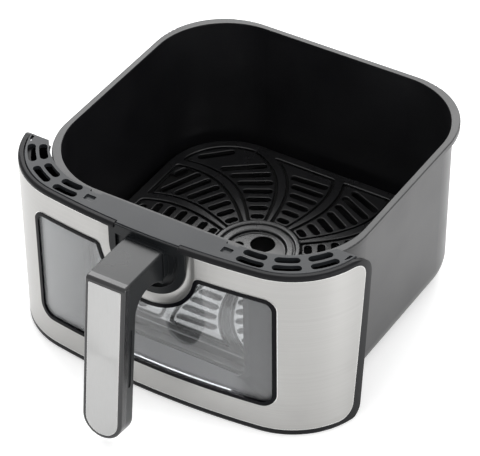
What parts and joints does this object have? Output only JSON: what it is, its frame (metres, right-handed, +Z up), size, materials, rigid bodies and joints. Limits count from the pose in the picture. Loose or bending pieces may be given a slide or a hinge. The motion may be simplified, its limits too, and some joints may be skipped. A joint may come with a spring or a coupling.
{
  "type": "air fryer basket drawer",
  "caption": "Pull-out air fryer drawer: coated pan with lift-out crisper plate, bowed steel front with double window, slotted top deck and drop grip handle.",
  "frame": {"origin": "middle of the pan's flat base, on the surface it stands on", "axes": "+Z up, -Y out of the front panel towards the user, +Y into the fryer's housing, +X to the right seen from the front"},
  "size_m": [0.2774, 0.3268, 0.143],
  "materials": {
    "pan_coating": "satin dark non-stick coating",
    "plate_coating": "satin dark non-stick coating",
    "sheet_steel": "plain zinc-plated sheet",
    "screw_steel": "dark plated",
    "silicone": "matt silicone",
    "foot_silicone": "matt silicone",
    "inner_glass": "clear tempered glass",
    "outer_glass": "lightly tinted tempered glass",
    "liner_plastic": "fine matt dark plastic",
    "panel_plastic": "fine satin black plastic",
    "facing_steel": "fine brushing along the panel",
    "bezel_plastic": "gloss black",
    "deck_plastic": "fine matt dark grey",
    "base_plastic": "polished black",
    "handle_plastic": "satin dark grey",
    "insert_metal": "satin silver"
  },
  "bodies": {
    "drawer": {"pan": "pan_coating", "front_carrier": "sheet_steel", "carrier_screws": "screw_steel", "inner_window_gasket": "silicone", "inner_window_glass": "inner_glass", "window_liner": "liner_plastic", "panel_body": "panel_plastic", "panel_skin": "facing_steel", "window_bezel": "bezel_plastic", "outer_window_glass": "outer_glass", "panel_screws": "screw_steel", "vent_deck": "deck_plastic", "deck_screws": "screw_steel", "handle_base": "base_plastic", "base_screws": "screw_steel", "handle_core": "sheet_steel", "core_screws": "screw_steel", "handle_shell": "handle_plastic", "handle_front": "handle_plastic", "handle_insert": "insert_metal", "grip_screws": "screw_steel"},
    "crisper": {"crisper_plate": "plate_coating", "crisper_foot_front_left": "foot_silicone", "crisper_foot_front_right": "foot_silicone", "crisper_foot_rear_left": "foot_silicone", "crisper_foot_rear_right": "foot_silicone"}
  },
  "joints": [
    {"name": "crisper_lift", "type": "slide", "parent": "drawer", "child": "crisper", "axis": [0, 0, 1], "range_m": [0, 0.17]}
  ]
}
